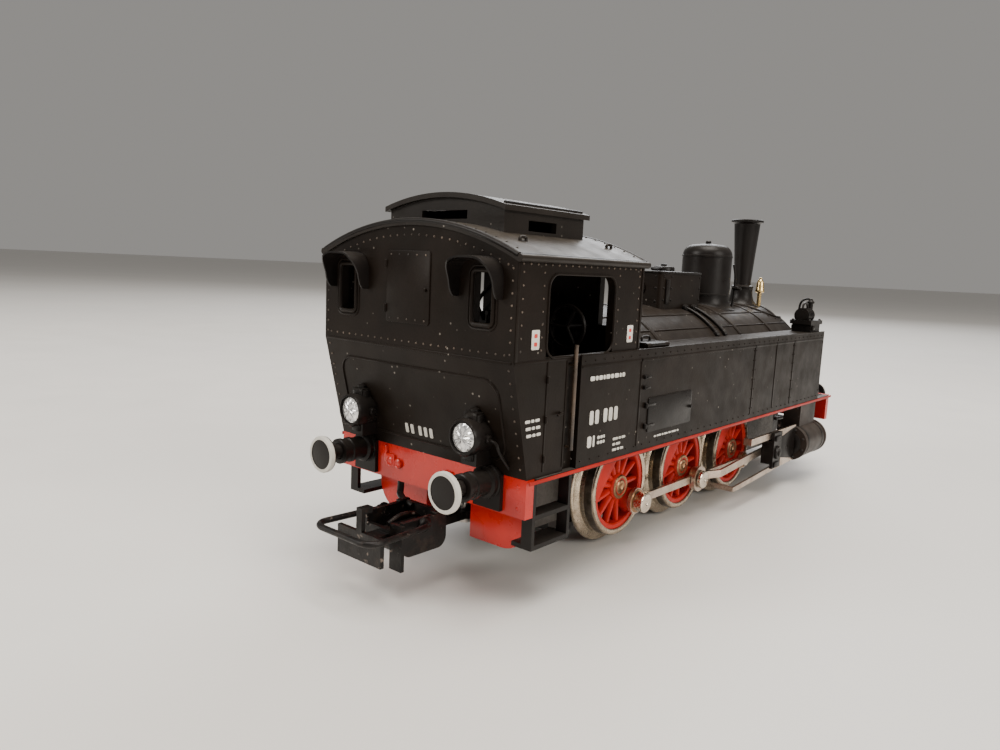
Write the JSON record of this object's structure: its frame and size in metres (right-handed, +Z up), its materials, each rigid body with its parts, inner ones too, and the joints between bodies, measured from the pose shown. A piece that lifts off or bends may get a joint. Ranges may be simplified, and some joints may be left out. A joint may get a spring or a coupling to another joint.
{
  "type": "model tank locomotive",
  "caption": "Side-tank model steam locomotive with turning coupled wheels, side and main rods, crossheads, a motor and worm drive inside, and swinging hook-and-loop couplers.",
  "frame": {"origin": "on the floor the wheel flanges stand on, under the middle of the length over the couplers", "axes": "+X forwards, towards the chimney end; +Y to the left side; +Z up"},
  "size_m": [0.1182, 0.0342, 0.0471],
  "materials": {
    "axle_steel": "satin",
    "wheel_red": "satin",
    "tyre_steel": "satin",
    "bright_steel": "polished",
    "rod_nickel": "satin",
    "motion_black": "satin",
    "bar_nickel": "satin",
    "cylinder_grey": "satin",
    "gear_plastic": "satin",
    "gear_brass": "satin",
    "motor_steel": "satin",
    "motor_black": "satin",
    "cast_zinc": "cast",
    "keeper_black": "matt",
    "bronze_strip": "satin",
    "ballast_metal": "cast",
    "deck_black": "satin",
    "beam_red": "gloss",
    "buffer_black": "satin",
    "fitting_black": "satin",
    "coupler_brown": "oxidised",
    "body_black": "satin, a little dusty",
    "roof_grey": "satin, dusty",
    "whistle_brass": "satin",
    "lamp_silver": "bright",
    "rail_brass": "tarnished"
  },
  "bodies": {
    "locomotive": {"slide_bars": "bar_nickel", "steam_cylinders": "cylinder_grey", "gear_pins": "axle_steel", "motor_can": "motor_steel", "motor_cap": "motor_black", "chassis_frame": "cast_zinc", "keeper_plate": "keeper_black", "keeper_screws": "axle_steel", "pickup_strips": "bronze_strip", "ballast_weight": "ballast_metal", "footplate": "deck_black", "buffer_beam_front": "beam_red", "buffer_beam_rear": "beam_red", "rear_apron": "beam_red", "buffer_sleeves": "buffer_black", "buffer_heads": "buffer_black", "cab_steps": "fitting_black", "coupler_pins": "axle_steel", "body_shell": "body_black", "smokebox_door": "body_black", "steam_dome": "body_black", "chimney": "body_black", "sandbox": "body_black", "sand_pipes": "body_black", "whistle": "whistle_brass", "feed_pump": "fitting_black", "cab_shell": "body_black", "cab_roof": "roof_grey", "roof_ventilator": "roof_grey", "lamp_housings": "fitting_black", "lamp_lenses": "lamp_silver", "handrails": "rail_brass"},
    "wheelset_middle": {"axle_middle": "axle_steel", "wheel_centres_middle": "wheel_red", "tyres_middle": "tyre_steel", "crank_pins_middle": "bright_steel", "axle_gear": "gear_plastic"},
    "wheelset_front": {"axle_front": "axle_steel", "wheel_centres_front": "wheel_red", "tyres_front": "tyre_steel", "crank_pins_front": "bright_steel"},
    "wheelset_rear": {"axle_rear": "axle_steel", "wheel_centres_rear": "wheel_red", "tyres_rear": "tyre_steel", "crank_pins_rear": "bright_steel"},
    "side_rod_left": {"coupling_rod_left": "rod_nickel"},
    "main_rod_left": {"connecting_rod_left": "rod_nickel"},
    "piston_left": {"crosshead_left": "motion_black"},
    "side_rod_right": {"coupling_rod_right": "rod_nickel"},
    "main_rod_right": {"connecting_rod_right": "rod_nickel"},
    "piston_right": {"crosshead_right": "motion_black"},
    "idler": {"idler_gear": "gear_plastic"},
    "worm_gear": {"worm_wheel": "gear_plastic"},
    "rotor": {"armature": "motor_steel", "worm": "gear_brass"},
    "coupler_rear": {"coupler_head_rear": "coupler_brown"},
    "bail_rear": {"coupler_loop_rear": "coupler_brown"},
    "coupler_front": {"coupler_head_front": "coupler_brown"},
    "bail_front": {"coupler_loop_front": "coupler_brown"}
  },
  "joints": [
    {"name": "middle_axle_turn", "type": "hinge", "parent": "locomotive", "child": "wheelset_middle", "pos_m": [-0.00325, 0, 0.00784], "axis": [0, 1, 0], "continuous": true},
    {"name": "front_axle_turn", "type": "hinge", "parent": "locomotive", "child": "wheelset_front", "pos_m": [0.01415, 0, 0.00784], "axis": [0, 1, 0], "continuous": true},
    {"name": "rear_axle_turn", "type": "hinge", "parent": "locomotive", "child": "wheelset_rear", "pos_m": [-0.02065, 0, 0.00784], "axis": [0, 1, 0], "continuous": true},
    {"name": "side_rod_pivot_left", "type": "hinge", "parent": "wheelset_middle", "child": "side_rod_left", "pos_m": [-0.00545, 0.01125, 0.0052], "axis": [0, 1, 0], "continuous": true},
    {"name": "main_rod_pivot_left", "type": "hinge", "parent": "wheelset_middle", "child": "main_rod_left", "pos_m": [-0.00545, 0.01185, 0.0052], "axis": [0, 1, 0], "continuous": true},
    {"name": "side_rod_pivot_right", "type": "hinge", "parent": "wheelset_middle", "child": "side_rod_right", "pos_m": [-0.00061, -0.01125, 0.00564], "axis": [0, 1, 0], "continuous": true},
    {"name": "main_rod_pivot_right", "type": "hinge", "parent": "wheelset_middle", "child": "main_rod_right", "pos_m": [-0.00061, -0.01185, 0.00564], "axis": [0, 1, 0], "continuous": true},
    {"name": "idler_turn", "type": "hinge", "parent": "locomotive", "child": "idler", "pos_m": [0.00147, 0, 0.01338], "axis": [0, 1, 0], "continuous": true},
    {"name": "worm_gear_turn", "type": "hinge", "parent": "locomotive", "child": "worm_gear", "pos_m": [-0.00325, 0, 0.01892], "axis": [0, 1, 0], "continuous": true},
    {"name": "rotor_turn", "type": "hinge", "parent": "locomotive", "child": "rotor", "pos_m": [-0.00325, 0, 0.025], "axis": [1, 0, 0], "continuous": true},
    {"name": "crosshead_slide_left", "type": "slide", "parent": "locomotive", "child": "piston_left", "axis": [1, 0, 0], "range_m": [-0.00117, 0.00571]},
    {"name": "crosshead_slide_right", "type": "slide", "parent": "locomotive", "child": "piston_right", "axis": [1, 0, 0], "range_m": [-0.00605, 0.00083]},
    {"name": "coupler_swing_rear", "type": "hinge", "parent": "locomotive", "child": "coupler_rear", "pos_m": [-0.0398, 0, 0.0061], "axis": [0, 0, 1], "range_deg": [-15, 15]},
    {"name": "bail_lift_rear", "type": "hinge", "parent": "coupler_rear", "child": "bail_rear", "pos_m": [-0.0499, 0, 0.0076], "axis": [0, 1, 0], "range_deg": [0, 25]},
    {"name": "coupler_swing_front", "type": "hinge", "parent": "locomotive", "child": "coupler_front", "pos_m": [0.0398, 0, 0.0061], "axis": [0, 0, 1], "range_deg": [-15, 15]},
    {"name": "bail_lift_front", "type": "hinge", "parent": "coupler_front", "child": "bail_front", "pos_m": [0.0499, 0, 0.0076], "axis": [0, -1, 0], "range_deg": [0, 25]}
  ],
  "couplings": [
    {"joint": "front_axle_turn", "follows": "middle_axle_turn", "ratio": 1},
    {"joint": "rear_axle_turn", "follows": "middle_axle_turn", "ratio": 1},
    {"joint": "side_rod_pivot_left", "follows": "middle_axle_turn", "ratio": -1},
    {"joint": "side_rod_pivot_right", "follows": "middle_axle_turn", "ratio": -1},
    {"joint": "main_rod_pivot_left", "follows": "middle_axle_turn", "ratio": -1},
    {"joint": "main_rod_pivot_right", "follows": "middle_axle_turn", "ratio": -1},
    {"joint": "idler_turn", "follows": "middle_axle_turn", "ratio": -1.25},
    {"joint": "worm_gear_turn", "follows": "middle_axle_turn", "ratio": 1},
    {"joint": "rotor_turn", "follows": "middle_axle_turn", "ratio": -20}
  ]
}
